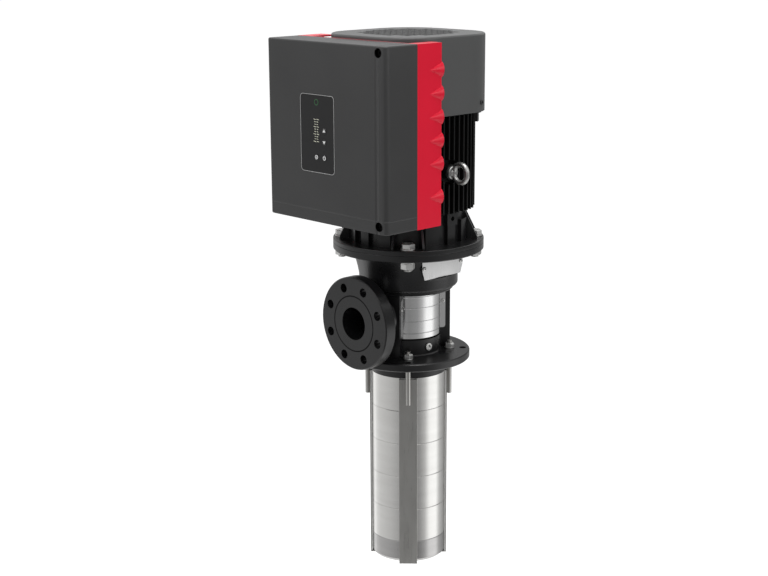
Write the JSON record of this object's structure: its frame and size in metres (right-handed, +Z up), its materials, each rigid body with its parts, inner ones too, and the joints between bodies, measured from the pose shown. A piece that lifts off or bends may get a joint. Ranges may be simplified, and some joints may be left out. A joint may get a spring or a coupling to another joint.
{
  "type": "vertical multistage pump",
  "caption": "Vertical multistage pump hung from a tank top: chamber stack held by straps, side discharge flange, coupling under guards, finned motor and built-on drive box with keys.",
  "frame": {"origin": "centre of the mounting plate's underside, which rests on the tank top", "axes": "+Z up along the shaft towards the fan cover; -Y is the side of the discharge flange and the drive box; +X to the right seen from the box's front"},
  "size_m": [0.349, 0.3656, 1.0719],
  "materials": {
    "black_casting": "glossy black paint on cast iron and aluminium",
    "stainless_sheet": "brushed stainless sheet",
    "stainless_guard": "satin stainless sheet",
    "zinc_steel": "bright zinc plated steel",
    "turned_steel": "turned steel",
    "laminations": "stacked steel laminations",
    "copper_winding": "varnished copper winding",
    "ring_plastic": "plain bearing plastic",
    "black_plastic": "black moulded plastic",
    "grey_cover": "dark grey powder coat",
    "dark_cover": "dark grey moulded plastic",
    "red_shell": "red moulded plastic",
    "raw_aluminium": "raw cast aluminium",
    "panel_print": "dark printed foil",
    "panel_light": "green indicator",
    "circuit_board": "green solder mask",
    "key_grey": "grey key cap",
    "key_red": "red key cap"
  },
  "bodies": {
    "pump_body": {"pump_head": "black_casting", "motor_stool": "black_casting", "head_screws": "zinc_steel", "coupling_guard_right": "stainless_guard", "coupling_guard_left": "stainless_guard", "stool_guard_right": "stainless_guard", "stool_guard_left": "stainless_guard", "guard_screws": "zinc_steel", "seal_housing": "turned_steel", "head_plugs": "zinc_steel", "chamber_1": "stainless_sheet", "chamber_2": "stainless_sheet", "chamber_3": "stainless_sheet", "chamber_4": "stainless_sheet", "chamber_5": "stainless_sheet", "inlet_part": "stainless_sheet", "inlet_strainer": "stainless_sheet", "neck_rings": "ring_plastic", "strap_1": "stainless_sheet", "strap_2": "stainless_sheet", "strap_3": "stainless_sheet", "strap_4": "stainless_sheet", "strap_nuts": "zinc_steel", "drive_end_shield": "black_casting", "motor_bolts": "zinc_steel", "motor_nuts": "zinc_steel", "stator_housing": "black_casting", "stator_core": "laminations", "stator_windings": "copper_winding", "bearing_outer_rings": "turned_steel", "rear_end_shield": "black_casting", "fan_cover": "grey_cover", "fan_cover_screws": "zinc_steel", "eye_bolts": "zinc_steel", "heat_sink": "raw_aluminium", "box_shell": "red_shell", "box_cover": "dark_cover", "cover_screws": "zinc_steel", "panel_foil": "panel_print", "panel_lights": "panel_light", "control_board": "circuit_board", "power_board": "circuit_board", "blind_plugs": "black_plastic"},
    "rotor": {"pump_shaft": "turned_steel", "impeller_1": "stainless_sheet", "impeller_2": "stainless_sheet", "impeller_3": "stainless_sheet", "impeller_4": "stainless_sheet", "impeller_5": "stainless_sheet", "coupling_halves": "turned_steel", "coupling_screws": "zinc_steel", "seal_rotor": "turned_steel", "motor_shaft": "turned_steel", "rotor_core": "laminations", "bearing_inner_rings": "turned_steel", "fan": "black_plastic"},
    "key_up": {"key_up": "key_grey"},
    "key_down": {"key_down": "key_grey"},
    "key_connect": {"key_connect": "key_grey"},
    "key_run_stop": {"key_run_stop": "key_red"}
  },
  "joints": [
    {"name": "rotor_spin", "type": "hinge", "parent": "pump_body", "child": "rotor", "pos_m": [0, 0, 0], "axis": [0, 0, 1], "continuous": true},
    {"name": "key_up_press", "type": "slide", "parent": "pump_body", "child": "key_up", "axis": [0, 1, 0], "range_m": [0, 0.0005], "stiffness_N_per_m": 800},
    {"name": "key_down_press", "type": "slide", "parent": "pump_body", "child": "key_down", "axis": [0, 1, 0], "range_m": [0, 0.0005], "stiffness_N_per_m": 800},
    {"name": "key_connect_press", "type": "slide", "parent": "pump_body", "child": "key_connect", "axis": [0, 1, 0], "range_m": [0, 0.0005], "stiffness_N_per_m": 800},
    {"name": "key_run_stop_press", "type": "slide", "parent": "pump_body", "child": "key_run_stop", "axis": [0, 1, 0], "range_m": [0, 0.0005], "stiffness_N_per_m": 800}
  ]
}
